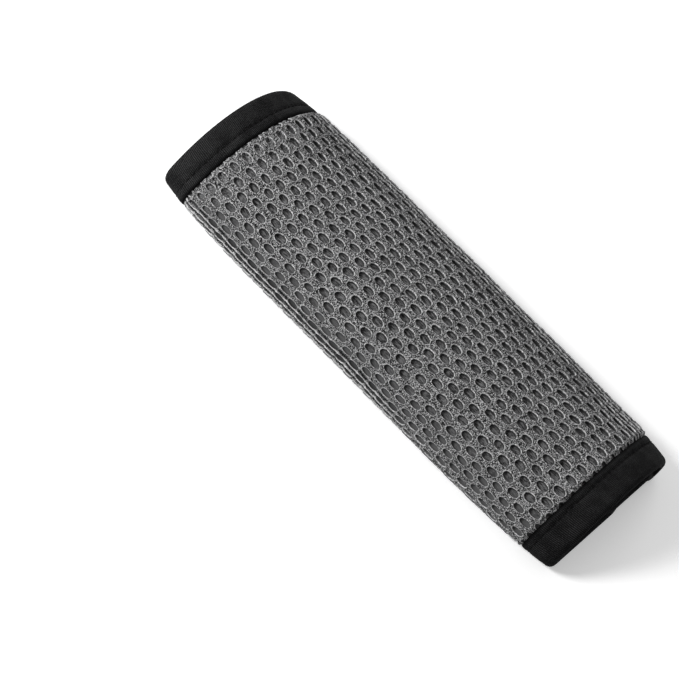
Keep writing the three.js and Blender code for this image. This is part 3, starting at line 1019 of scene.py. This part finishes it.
@dataclass(frozen=True)
class AirMesh:
    """The grey air mesh: a lattice of six-sided cells, each with a long hole down to the knitted back."""

    panel: Panel
    finish: AirMeshFinish
    hole_pitch: float = 5.93 * MM
    row_pitch: float = 5.19 * MM
    half_width: float = 1.5 * MM
    half_length: float = 2.32 * MM
    hole_power: float = 2.4
    column_phase: float = -0.34 * MM
    row_phase: float = 5.33 * MM
    side_steps: int = 3
    depth: float = 1.1 * MM
    rim: float = 0.2 * MM
    sunk_corner: float = 0.3 * MM
    sunk_edge: float = 0.1 * MM
    back_thickness: float = 0.3 * MM
    tucked: float = 2.9 * MM
    tucked_inset: float = 8.5 * MM
    rise: Span = (12.6 * MM, 14.0 * MM)
    puff: float = 0.55 * MM
    puff_run: float = 8 * MM
    roll: float = 0.22 * MM
    wander: float = 0.4 * MM
    pleat: float = 0.85 * MM
    pleats_inner: Span = (24 * MM, 38 * MM)
    pleats_outer: Span = (30 * MM, 40 * MM)
    pleats_along: Span = (10 * MM, 40 * MM)
    bunch: float = 7.5 * MM
    bunched: Span = (30 * MM, 60 * MM)
    stretch: float = 3 * MM
    stretched: Span = (18 * MM, 42 * MM)

    def ground(self, u: Array, v: Array, knit_u: Array) -> tuple[Array, Array]:
        """How high the mesh's face lies, and how open its structure is.

        Args:
            u: across the panel.
            v: along the belt.
            knit_u: u in the even knit, before it is bent over the pad.

        Returns:
            w of the face, and 0 where the tape squeezes it flat to 1 where it is open.
        """
        panel = self.panel
        inset = panel.inset(u / panel.ease(v), v)
        opened = smooth_step(*self.rise, inset)
        on_top = 1 - smooth_step(panel.crown_end, panel.fold_end, np.abs(u))
        swell = self.puff * bump_at(self.rise[1], self.puff_run, inset) * (0.1 + 0.9 * on_top)
        uneven = self.roll * Ripple(SEED, 22 * MM, 60 * MM).at(u, v) * on_top
        outer = smooth_step(*self.pleats_outer, -u) * (1 - smooth_step(*self.pleats_along, v))
        pleated = smooth_step(*self.pleats_inner, u) + outer
        pleated = pleated * (1 - 0.6 * smooth_step(panel.fold_end, 1.2 * panel.fold_end, np.abs(u)))
        valley = 0.5 + 0.5 * np.cos(4 * math.pi * (knit_u - self.column_phase) / self.hole_pitch)
        full = panel.thickness + swell + uneven - self.pleat * pleated * valley
        return self.tucked + (full - self.tucked) * opened, opened

    def bent(self, u: Array, v: Array) -> tuple[Array, Array]:
        """Lets the even lattice wander, bunch and stretch as cloth does.

        Args:
            u: across the panel in the even knit.
            v: along the belt.

        Returns:
            u and v on the pad.
        """
        du = self.wander * Ripple(SEED + 1, 30 * MM, 90 * MM).at(u, v)
        dv = self.wander * Ripple(SEED + 2, 30 * MM, 90 * MM).at(u, v)
        outer = self.bunch * smooth_step(*self.bunched, -u)
        inner = self.stretch * smooth_step(*self.stretched, u)
        return u + du + np.where(u < 0, outer, inner), v + dv

    @property
    def knit_size(self) -> float:
        """The side of a square that holds the knit before it is bent."""
        return 2 * (self.panel.outer_edge + self.bunch + self.hole_pitch)

    def border(self) -> Array:
        """The places of a cell's six sides round its middle, each side in equal steps."""
        half, row = self.hole_pitch / 2, self.row_pitch
        low = (row * row - half * half) / (2 * row)
        high = (row * row + half * half) / (2 * row)
        corners = np.array([(half, -low), (half, low), (0, high), (-half, low), (-half, -low), (0, -high)])
        t = np.arange(self.side_steps)[:, None] / self.side_steps
        return np.concatenate([a + t * (b - a) for a, b in zip(corners, np.roll(corners, -1, 0))])

    def around(self, ring: HoleRing) -> Array:
        """The places of a ring round a hole, in the directions of the cell's border places.

        Args:
            ring: the ring.

        Returns:
            The places round the hole's middle, one in each row.
        """
        edge = self.border()
        way = edge / np.linalg.norm(edge, axis=1, keepdims=True)
        x, y = np.abs(way[:, 0] / self.half_width), np.abs(way[:, 1] / self.half_length)
        lip = (x**self.hole_power + y**self.hole_power) ** (-1 / self.hole_power)
        return way * (lip[:, None] * ring.share + ring.beyond)

    def middles(self) -> Array:
        """The middles in the even knit of every cell that the panel holds, one in each row."""
        reach = int(2 * (self.panel.outer_edge + self.bunch) / self.hole_pitch) + 2
        rows = np.arange(-22, 23)
        row, column = (x.ravel() for x in np.meshgrid(rows, np.arange(-reach, reach + 1), indexing="ij"))
        staggered = (row + column) % 2 == 0
        knit_u = column[staggered] * self.hole_pitch / 2 + self.column_phase
        knit_v = row[staggered] * self.row_pitch + self.row_phase
        u, v = self.bent(knit_u, knit_v)
        near = np.abs(v) < self.panel.half_length
        inset = self.panel.inset(u / self.panel.ease(np.where(near, v, 0)), v)
        kept = near & (inset > self.tucked_inset)
        return np.stack([knit_u[kept], knit_v[kept]], 1)

    def build(self) -> bpy.types.Object:
        """Makes the mesh, closed by its knitted back."""
        draft = MeshDraft("air_mesh")
        cells = Cells.drawn(self.middles())
        edge = self.border()
        front, back = self._borders(draft, cells, edge)
        for group, rings in self._groups(cells):
            some = cells.some(group)
            middle = self._ring(draft, some, np.zeros((1, 2)), HoleRing(0.0, 0.0, -0.92 * self.depth, 1.0))
            places = [self.around(ring) for ring in rings]
            loops = [self._ring(draft, some, local, ring) for local, ring in zip(places, rings)]
            loops.append(front[group])
            places.append(edge)
            self._fan(draft, middle, loops[0], places[0], some.middle, False)
            for k in range(len(rings)):
                self._band(draft, loops[k : k + 2], places[k : k + 2], some.middle)

        u, v = self.bent(*cells.middle.T)
        first = draft.add_points(self.panel.place(u, v, self.panel.mesh_back), pit=0.5)
        self._fan(draft, first + np.arange(len(u))[:, None], back, edge, cells.middle, True)
        self._hem(draft, front, back, edge, cells.middle)
        hole = (self.half_width / MM, self.half_length / MM)
        columns = (self.hole_pitch / 2 / MM, self.column_phase / MM)
        return draft.make(self.finish.material(hole, columns))

    def _groups(self, cells: Cells) -> list[tuple[Array, list[HoleRing]]]:
        """The cells' numbers in three groups, each with its rings: the fewer, the less its holes show.

        Args:
            cells: the cells.

        Returns:
            For each group the cells' numbers and the rings, from the floor up.
        """
        u = cells.middle[:, 0]
        hidden, under = u > self.panel.inner_fold_end, u < -self.panel.fold_end
        deep = HoleRing(0.86, 0.0, -self.depth, 1.0)
        wall = HoleRing(0.98, 0.0, -0.3 * self.depth, 0.4)
        crest = HoleRing(1.0, 0.14 * MM, self.rim, 0.0)
        slope = HoleRing(1.0, 0.5 * MM, 0.3 * self.rim, 0.0)
        groups = [
            (~hidden & ~under, [deep, wall, crest, slope]),
            (under, [deep, wall, crest]),
            (hidden, [deep, HoleRing(1.0, 0.0, 0.0, 0.0)]),
        ]
        return [(np.flatnonzero(chosen), rings) for chosen, rings in groups]

    def _borders(self, draft: MeshDraft, cells: Cells, edge: Array) -> tuple[Array, Array]:
        """Adds the points that neighbouring cells share, on the face and on the back.

        Args:
            draft: the piece.
            cells: the cells.
            edge: the places of a cell's sides round its middle.

        Returns:
            The points' numbers round each cell, on the face and on the back.
        """
        at = cells.middle[:, None] + edge
        keys = np.round(at.reshape(-1, 2) / (0.01 * MM)).astype(int)
        keys, number = np.unique(keys, axis=0, return_inverse=True)
        number = number.reshape(at.shape[:2])
        shared = np.zeros((len(keys), 2))
        shared[number] = at
        u, v = self.bent(*shared.T)
        level, opened = self.ground(u, v, shared[:, 0])
        corner = np.bincount(number.ravel()) > 2
        sunk = np.where(corner, self.sunk_corner, self.sunk_edge) * opened
        front = draft.add_points(self.panel.place(u, v, level - sunk), pit=0.0)
        back = draft.add_points(self.panel.place(u, v, self.panel.mesh_back), pit=0.5)
        return front + number, back + number

    def _ring(self, draft: MeshDraft, cells: Cells, local: Array, ring: HoleRing) -> Array:
        """Adds one ring of points in each of the cells.

        Args:
            draft: the piece.
            cells: the cells.
            local: the ring's places round a hole's middle.
            ring: its height and its pit.

        Returns:
            The points' numbers, with a row for each cell.
        """
        knit_u, knit_v = cells.places(local)
        u, v = self.bent(knit_u, knit_v)
        level, opened = self.ground(u, v, knit_u)
        sink = cells.sink[:, None] if ring.height < 0 else 1
        w = level + ring.height * sink * (0.6 + 0.4 * opened)
        w = np.maximum(w, self.panel.mesh_back + self.back_thickness)
        return draft.add_points(self.panel.place(u, v, w), pit=ring.pit) + np.arange(u.size).reshape(u.shape)

    def _maps(self, local: Array, middle: Array, behind: bool) -> dict[str, Array]:
        """The maps of faces, from their corners' places.

        Args:
            local: the places round the cells' middles.
            middle: the middles, shaped to be added to them.
            behind: whether the faces are on the back, which gets a narrow stretch of the bake map.

        Returns:
            The three maps, by name.
        """
        knit = middle + local
        scale, shift = ((1, 0.05), (0, 0.945)) if behind else ((1, 0.99), (0, -0.025))
        flat = (knit / self.knit_size + 0.5) * scale + shift
        return {"cell": np.broadcast_to(local, knit.shape) / MM, "panel": knit / MM, BAKE_MAP: flat}

    def _fan(
        self, draft: MeshDraft, hub: Array, loop: Array, local: Array, middle: Array, behind: bool
    ) -> None:
        """Adds triangles from a point in each cell to a ring round it.

        Args:
            draft: the piece.
            hub: the points' numbers, one in each row.
            loop: the ring's numbers, with a row for each cell.
            local: the ring's places round a cell's middle.
            middle: the cells' middles.
            behind: whether the fan is on the back.
        """
        faces = np.stack([np.broadcast_to(hub, loop.shape), np.roll(loop, -1, 1), loop], -1)
        corners = np.stack([np.zeros_like(local), np.roll(local, -1, 0), local], 1)
        if behind:
            faces, corners = faces[..., ::-1], corners[:, ::-1]
        draft.add_faces(faces, **self._maps(corners, middle[:, None, None], behind))

    def _band(self, draft: MeshDraft, loops: list[Array], places: list[Array], middle: Array) -> None:
        """Adds quads between two rings of each cell.

        Args:
            draft: the piece.
            loops: the rings' numbers, with a row for each cell.
            places: the rings' places round a cell's middle.
            middle: the cells' middles.
        """
        (a, b), (near, far) = loops, places
        faces = np.stack([a, np.roll(a, -1, 1), np.roll(b, -1, 1), b], -1)
        corners = np.stack([near, np.roll(near, -1, 0), np.roll(far, -1, 0), far], 1)
        draft.add_faces(faces, **self._maps(corners, middle[:, None, None], False))

    def _hem(self, draft: MeshDraft, front: Array, back: Array, edge: Array, middle: Array) -> None:
        """Closes the mesh's cut edge, which lies inside the tape.

        Args:
            draft: the piece.
            front: the border points' numbers on the face, with a row for each cell.
            back: their numbers on the back.
            edge: the border's places round a cell's middle.
            middle: the cells' middles.
        """
        ends = np.sort(np.stack([front, np.roll(front, -1, 1)], -1), -1).reshape(-1, 2)
        _, where, uses = np.unique(ends, axis=0, return_inverse=True, return_counts=True)
        cell, side = np.nonzero(uses[where.reshape(front.shape)] == 1)
        after = (side + 1) % len(edge)
        faces = np.stack([front[cell, side], front[cell, after], back[cell, after], back[cell, side]], 1)
        corners = np.stack([edge[side], edge[after], edge[after], edge[side]], 1)
        draft.add_faces(faces, **self._maps(corners, middle[cell, None], True))


@dataclass(frozen=True)
class Binding:
    """The ribbed tape folded over the panel's edge, with the sunk line of its seam on both faces."""

    panel: Panel
    outline: Outline
    finish: TapeFinish
    tape: float = 0.62 * MM
    stitch_inset: float = 8.7 * MM
    cover: float = 12.8 * MM
    groove: float = 0.5 * MM
    groove_width: float = 0.72 * MM
    stitch: float = 3.1 * MM
    dent: float = 0.12 * MM
    pucker: float = 0.05 * MM
    edge_drop: float = 0.75 * MM
    edge_round: float = 2.0 * MM
    uneven: float = 0.14 * MM
    seam_drift: float = 1.0 * MM
    drifted: Span = (50 * MM, 95 * MM)

    def seam(self, s: Array) -> Array:
        """How far the seam runs from the bound edge, at places along it."""
        _, v = self.outline.at(s, 0.0)
        return self.stitch_inset + self.seam_drift * smooth_step(*self.drifted, v)

    def face(self, inset: Array, s: Array) -> Array:
        """How far the tape's outer face stands from the panel's middle plane.

        Args:
            inset: from the bound edge.
            s: along the edge.

        Returns:
            The distance.
        """
        panel = self.panel
        across = np.abs(self.outline.at(s, inset)[0])
        fold = smooth_step(0.8 * panel.crown_end, panel.crown_end, across)
        calm = 1 - 0.6 * fold * (1 - smooth_step(panel.fold_end, 1.15 * panel.fold_end, across))
        phase = np.cos(2 * math.pi * s / self.stitch)
        off = inset - self.seam(s)
        pulled = bump_at(0, self.groove_width, off) * (self.groove + self.dent * phase)
        pulled = pulled + bump_at(0, 3 * self.groove_width, off) * self.pucker * (1 + phase)
        edge = np.clip((inset - self.cover + self.edge_round) / self.edge_round, 0, 1) ** 2.5
        slow = Ripple(SEED + 3, 9 * MM, 30 * MM).at(s, inset * 2)
        sag = self.uneven * (0.5 + 0.5 * slow) * smooth_step(2.5 * MM, 5 * MM, inset)
        return panel.thickness / 2 + panel.tape_proud - calm * (pulled + self.edge_drop * edge) - sag

    def turn(self, side: int, inner: bool, s: Array) -> list[Array]:
        """The rows of points where the tape folds round the panel's edge.

        Args:
            side: the side of the panel that the turn starts from.
            inner: whether it is the tape's inner face.
            s: the places along the edge.

        Returns:
            For each row its inset and its w, at each place.
        """
        middle = self.panel.thickness / 2
        nose = middle + self.panel.tape_proud
        radius, steps = (nose - self.tape, 7) if inner else (nose, 11)
        angles = side * np.radians(np.linspace(90, -90, steps))
        rows = [(nose - radius * np.cos(angle), middle + radius * np.sin(angle)) for angle in angles]
        return [np.outer(row, np.ones_like(s)) for row in rows]

    def rows(self, s: Array) -> Array:
        """The rows of points round the tape's section.

        Args:
            s: the places along the edge.

        Returns:
            For each row its inset and its w, at each place.
        """
        middle = self.panel.thickness / 2
        lip = self.cover - np.array([0, 0.12, 0.45, 1.0, 1.6]) * MM
        seam = self.stitch_inset + np.linspace(2.4, -1.2, 13) * MM
        outside = np.concatenate([lip, seam, np.array([6.6, 5.4, 4.2, 3.1]) * MM])
        inside = np.concatenate([[2.6 * MM, 6.0 * MM, self.stitch_inset], np.array([10.4, 11.6, 12.5]) * MM])
        rows = []
        for insets, inner, side in (
            (outside, False, 1),
            (outside[::-1], False, -1),
            (inside[::-1], True, -1),
            (inside, True, 1),
        ):
            for inset in insets:
                along = np.full_like(s, inset)
                away = self.face(along, s)
                if inner:
                    away = np.minimum(away - self.tape * 0.45, middle + self.panel.tape_proud - self.tape)
                rows.append(np.stack([along, middle + side * away]))
            if inner == (side < 0):
                rows.extend(self.turn(side, inner, s))
        return np.stack(rows)

    def build(self) -> bpy.types.Object:
        """Makes the tape."""
        outline = self.outline
        s = outline.distance[:-1]
        rows = self.rows(s)
        count, width = len(rows), len(s)
        u, v = outline.at(s, rows[:, 0])
        draft = MeshDraft("edge_binding_tape")
        draft.add_points(self.panel.place(u, v, rows[:, 1]))
        over = np.zeros((count, width))
        over[1:] = np.cumsum(np.linalg.norm(np.diff(rows, axis=0), axis=1), 0)
        chart = np.stack([np.broadcast_to(s, over.shape), over], -1)
        r, c = np.meshgrid(np.arange(count), np.arange(width), indexing="ij")
        up, on = (r + 1) % count, (c + 1) % width
        corners = np.stack([chart[r, c], chart[r, on], chart[up, on], chart[up, c]], 2)
        corners[:, -1, 1:3, 0] += outline.length
        faces = np.stack([r * width + c, r * width + on, up * width + on, up * width + c], -1)
        draft.add_faces(faces, tape=corners / MM)
        return draft.make(self.finish.material())


@dataclass(frozen=True)
class SeamThread:
    """The lock stitches that lie in the tape's groove, on both faces."""

    binding: Binding
    finish: ThreadFinish
    radius: float = 0.17 * MM
    share: float = 0.84
    rings: int = 7
    sides: int = 6

    def build(self) -> bpy.types.Object:
        """Makes all the stitches as one piece."""
        tape, panel = self.binding, self.binding.panel
        count = int(tape.outline.length / tape.stitch)
        starts = (np.arange(count) + 0.5) * tape.stitch
        t = np.linspace(-0.5, 0.5, self.rings)[:, None]
        turn = np.arange(self.sides + 1) / self.sides
        s = starts[:, None, None] + t * self.share * tape.stitch + 0 * turn
        thick = self.radius * np.sqrt(np.clip(1 - (2 * t) ** 6, 0.04, 1))
        inset = tape.seam(s) + thick * np.cos(2 * math.pi * turn)
        arch = self.radius * (0.55 - 12.8 * t**4)
        away = tape.face(tape.seam(s), s) + arch + thick * np.sin(2 * math.pi * turn)
        away = np.minimum(away, panel.thickness / 2 + panel.tape_proud)
        u, v = tape.outline.at(s, inset)
        chart = np.stack([s / MM, np.broadcast_to(turn, s.shape)], -1).reshape(-1, 2)
        each = np.arange(count)[:, None, None] * self.rings * (self.sides + 1)
        draft = MeshDraft("seam_thread")
        for side in (1, -1):
            first = draft.add_points(panel.place(u, v, panel.thickness / 2 + side * away))
            faces = each + grid_faces(self.rings, self.sides + 1, turned=side > 0)
            draft.add_faces(first + faces, thread=chart[faces])
        return draft.make(self.finish.material())


@dataclass(frozen=True)
class Layer:
    """A plain sheet of the panel: its faces, its cut edge, and how the tape squeezes it."""

    panel: Panel
    name: str
    back: float
    front: float
    inset: float
    lifted: float
    wrinkle: float
    step: float = 2 * MM
    tape_end: Span = (12.2 * MM, 13.6 * MM)
    smoothed: float = 1 * MM

    def build(self, finish: KnitFinish | FoamFinish) -> bpy.types.Object:
        """Makes the sheet, closed at its edge.

        Args:
            finish: what it looks like.

        Returns:
            The object.
        """
        panel = self.panel
        half = panel.half_length - self.inset
        v = np.linspace(-half, half, int(2 * half / self.step) + 1)[:, None]
        low = -self._end(v, panel.outer_edge, panel.outer_corner)
        high = self._end(v, panel.inner_edge, panel.inner_corner)
        p = low + (high - low) * np.linspace(0, 1, int((panel.outer_edge + panel.inner_edge) / self.step))
        v = np.broadcast_to(v, p.shape)
        u = p * panel.ease(v)
        squeezed = self.lifted * (1 - smooth_step(*self.tape_end, panel.inset(p, v)))
        folds = bump_at(panel.fold_end - 6 * MM, 9 * MM, np.abs(u))
        ripple = Ripple(SEED + 5, 5 * MM, 16 * MM).at(u, v * 0.35) * (0.25 + folds)
        crease = self.wrinkle * (1 - smooth_step(0, self.smoothed, squeezed)) * (0.5 + 0.5 * ripple)
        draft = MeshDraft(self.name)
        draft.add_sheet(panel, u, v, self.front + squeezed + crease, self.back + squeezed + 0.4 * crease)
        return draft.make(finish.material())

    def _end(self, v: Array, edge: float, corner: float) -> Array:
        """How far the sheet reaches across.

        Args:
            v: places along the belt.
            edge: how far the panel's edge is from the crown line.
            corner: the radius of its corners.

        Returns:
            The distances from the crown line.
        """
        over = np.maximum(np.abs(v) - (self.panel.half_length - corner), 0)
        reach = corner - self.inset
        return edge - corner + np.sqrt(np.maximum(reach * reach - over * over, 0))


class StripKind(Enum):
    """Which closing strip it is."""

    HOOK = "hook_tape"
    LOOP = "loop_tape"


@dataclass(frozen=True)
class ClosingStrip:
    """A closing strip: a woven ground with rows of hooks, or of pile loops."""

    panel: Panel
    kind: StripKind
    start: float
    back: float
    facing: int
    finish: BristleFinish
    width: float = 16 * MM
    half_length: float = 74 * MM
    ground: float = 0.35 * MM
    pitch: float = 1.5 * MM
    stray: float = 0.25 * MM
    height: float = 0.36 * MM
    hook_reach: float = 0.28 * MM
    fibre: float = 0.09 * MM

    def _fibres(self, draft: MeshDraft) -> None:
        """Adds the hooks or the loops, each a short bent fibre.

        Args:
            draft: the piece.
        """
        looped = self.kind is StripKind.LOOP
        draw = np.random.default_rng(SEED + (2 if looped else 1))
        across = np.arange(self.start + 0.9 * MM, self.start + self.width - 0.8 * MM, self.pitch)
        along = np.arange(-self.half_length + MM, self.half_length - MM, self.pitch)
        v, u = (x.reshape(-1, 1, 1) for x in np.meshgrid(along, across, indexing="ij"))
        heading = np.where(draw.uniform(size=u.shape) < 0.5, 0.0, math.pi)
        if looped:
            heading = draw.uniform(0, 2 * math.pi, u.shape)
            u = u + draw.normal(0, self.stray, u.shape)
            v = v + draw.normal(0, self.stray, v.shape)
        bend = np.radians(np.linspace(0, 180 if looped else 150, 6))[:, None]
        around = np.radians([0, 90, 180, 270, 360])
        reach = self.hook_reach * (1 - np.cos(bend))
        beside = self.fibre * np.cos(around)
        u = u + np.cos(heading) * reach - np.sin(heading) * beside
        v = v + np.sin(heading) * reach + np.cos(heading) * beside
        rise = self.height / 2 * (np.sin(bend) + np.sin(bend / 2))
        w = self.back + self.facing * (self.ground + rise + 0.5 * self.fibre * np.sin(around))
        first = draft.add_points(self.panel.place(u, v, w))
        each = np.arange(len(u))[:, None, None] * len(bend) * len(around)
        faces = each + grid_faces(len(bend), len(around), turned=self.facing > 0)
        chart = np.stack([u, v], -1).reshape(-1, 2) / MM
        draft.add_faces(first + faces, panel=chart[faces])

    def build(self) -> bpy.types.Object:
        """Makes the strip."""
        draft = MeshDraft(self.kind.value)
        across = np.linspace(self.start, self.start + self.width, 17)
        along = np.linspace(-self.half_length, self.half_length, 75)
        v, u = np.meshgrid(along, across, indexing="ij")
        faces = sorted([self.back, self.back + self.facing * self.ground])
        draft.add_sheet(self.panel, u, v, faces[1], faces[0])
        self._fibres(draft)
        return draft.make(self.finish.material(self.kind.value))


@dataclass(frozen=True)
class ShoulderPad:
    """The whole pad."""

    panel: Panel = Panel()
    edge_step: float = 0.8 * MM
    tape_width: float = 26 * MM
    strip_gap: float = 0.3 * MM
    lining: KnitFinish = KnitFinish("lining", (0.006, 0.006, 0.0065), (0.014, 0.014, 0.0145))
    hooks: BristleFinish = BristleFinish((0.008, 0.008, 0.009), (0.02, 0.02, 0.021), 0.5)
    loops: BristleFinish = BristleFinish((0.009, 0.009, 0.01), (0.022, 0.022, 0.023), 0.9)

    def build(self) -> None:
        """Makes each piece, rides it on the pad's body, hides the solid it stands for and logs its triangles.
        """
        panel = self.panel
        outline = Outline(panel, self.edge_step)
        binding = Binding(panel, outline, TapeFinish())
        hook_start = panel.swell_end - panel.outer_edge
        hook = ClosingStrip(panel, StripKind.HOOK, hook_start, -self.strip_gap, -1, self.hooks)
        loop_back = panel.thickness + self.strip_gap
        loop = ClosingStrip(panel, StripKind.LOOP, panel.loop_from, loop_back, 1, self.loops)

        mesh = AirMesh(panel, AirMeshFinish()).build()
        tape = binding.build()
        thread = SeamThread(binding, ThreadFinish()).build()
        sheet = Layer(panel, "lining_sheet", 0.0, 0.5 * MM, 2.8 * MM, 0.75 * MM, 0.12 * MM).build(self.lining)
        filling = Layer(panel, "foam_sheet", 0.8 * MM, 1.75 * MM, 13.8 * MM, 0.0, 0.05 * MM)
        foam = filling.build(FoamFinish())
        hook_piece, loop_piece = hook.build(), loop.build()
        for piece, solid, slot in (
            (mesh, "face_mesh", "air_mesh"),
            (tape, "edge_binding", "binding_tape"),
            (thread, None, "binding_tape"),
            (sheet, "inner_lining", "lining"),
            (foam, "foam_padding", "foam"),
            (hook_piece, "hook_strip", "hook_tape"),
            (loop_piece, "loop_strip", "loop_tape"),
        ):
            if solid:
                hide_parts(solid)
            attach(piece, "root")
            report(piece)

        for piece in (mesh, sheet):
            panel.cut
            panel.area
        strip_cut = (hook.width, 2 * hook.half_length)


@dataclass(frozen=True)
class SoftBox:
    """A square studio lamp, aimed at the pad."""

    name: str
    place: tuple[float, float, float]
    size: float
    power: float

    def build(self) -> None:
        """Hangs the lamp."""
        light = bpy.data.lights.new(self.name, "AREA")
        light.size = self.size
        light.energy = self.power
        lamp = bpy.data.objects.new(self.name, light)
        lamp.location = self.place
        lamp.rotation_mode = "QUATERNION"
        lamp.rotation_quaternion = (-Vector(self.place)).to_track_quat("-Z", "Y")
        bpy.context.scene.collection.objects.link(lamp)


@dataclass(frozen=True)
class Studio:
    """The floor, the soft light and the camera."""

    floor_size: float = 6.0
    world: float = 0.26
    lens: float = 125.9
    azimuth: float = 17.45
    elevation: float = 49.62
    roll: float = -31.71
    distance: float = 845 * MM
    aim: tuple[float, float, float] = (-9.8 * MM, -35.37 * MM, 10 * MM)

    def build(self) -> None:
        """Makes them all."""
        self._floor()
        self._world()
        SoftBox("key_light", (-0.53, -0.54, 0.48), 0.25, 9.0).build()
        SoftBox("far_light", (-0.3, 1.0, 0.9), 0.9, 4.5).build()
        self._camera()
        bpy.context.scene.view_settings.view_transform = "Standard"

    def _floor(self) -> None:
        """Lays the floor."""
        half = self.floor_size / 2
        mesh = bpy.data.meshes.new("floor")
        corners = [(-half, -half, 0), (half, -half, 0), (half, half, 0), (-half, half, 0)]
        mesh.from_pydata(corners, [], [(0, 1, 2, 3)])
        mesh.materials.append(FloorFinish().material())
        floor = bpy.data.objects.new("floor", mesh)
        bpy.context.scene.collection.objects.link(floor)

    def _world(self) -> None:
        """Lights the room evenly, and shows it white to the camera."""
        s = Shader(bpy.data.worlds.new("studio"))
        bpy.context.scene.world = s.owner
        room = s.node("Background", None, {"Color": WHITE, "Strength": self.world}).outputs[0]
        backdrop = s.node("Background", None, {"Color": WHITE, "Strength": 1.0}).outputs[0]
        both = s.node("MixShader", None, {0: s.seen(), 1: room, 2: backdrop}).outputs[0]
        s.node("OutputWorld", None, {"Surface": both})

    def _camera(self) -> None:
        """Sets the camera where the photograph was taken from."""
        turn, tilt, roll = (math.radians(x) for x in (self.azimuth, self.elevation, self.roll))
        level = math.cos(tilt)
        ahead = Vector((-math.sin(turn) * level, math.cos(turn) * level, -math.sin(tilt)))
        across = ahead.cross(Vector((0, 0, 1))).normalized()
        up = across.cross(ahead) * math.cos(roll) + across * math.sin(roll)
        camera = bpy.data.objects.new("camera", bpy.data.cameras.new("camera"))
        camera.data.lens = self.lens
        camera.data.clip_start = 0.05
        turned = Matrix((ahead.cross(up), up, -ahead)).transposed().to_4x4()
        camera.matrix_world = Matrix.Translation(Vector(self.aim) - ahead * self.distance) @ turned
        bpy.context.scene.collection.objects.link(camera)
        bpy.context.scene.camera = camera


def main() -> None:
    """Builds the studio and the pad."""
    logging.basicConfig(level=logging.INFO, format="%(message)s")
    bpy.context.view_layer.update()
    Studio().build()
    ShoulderPad().build()


if __name__ == "__main__":
    main()
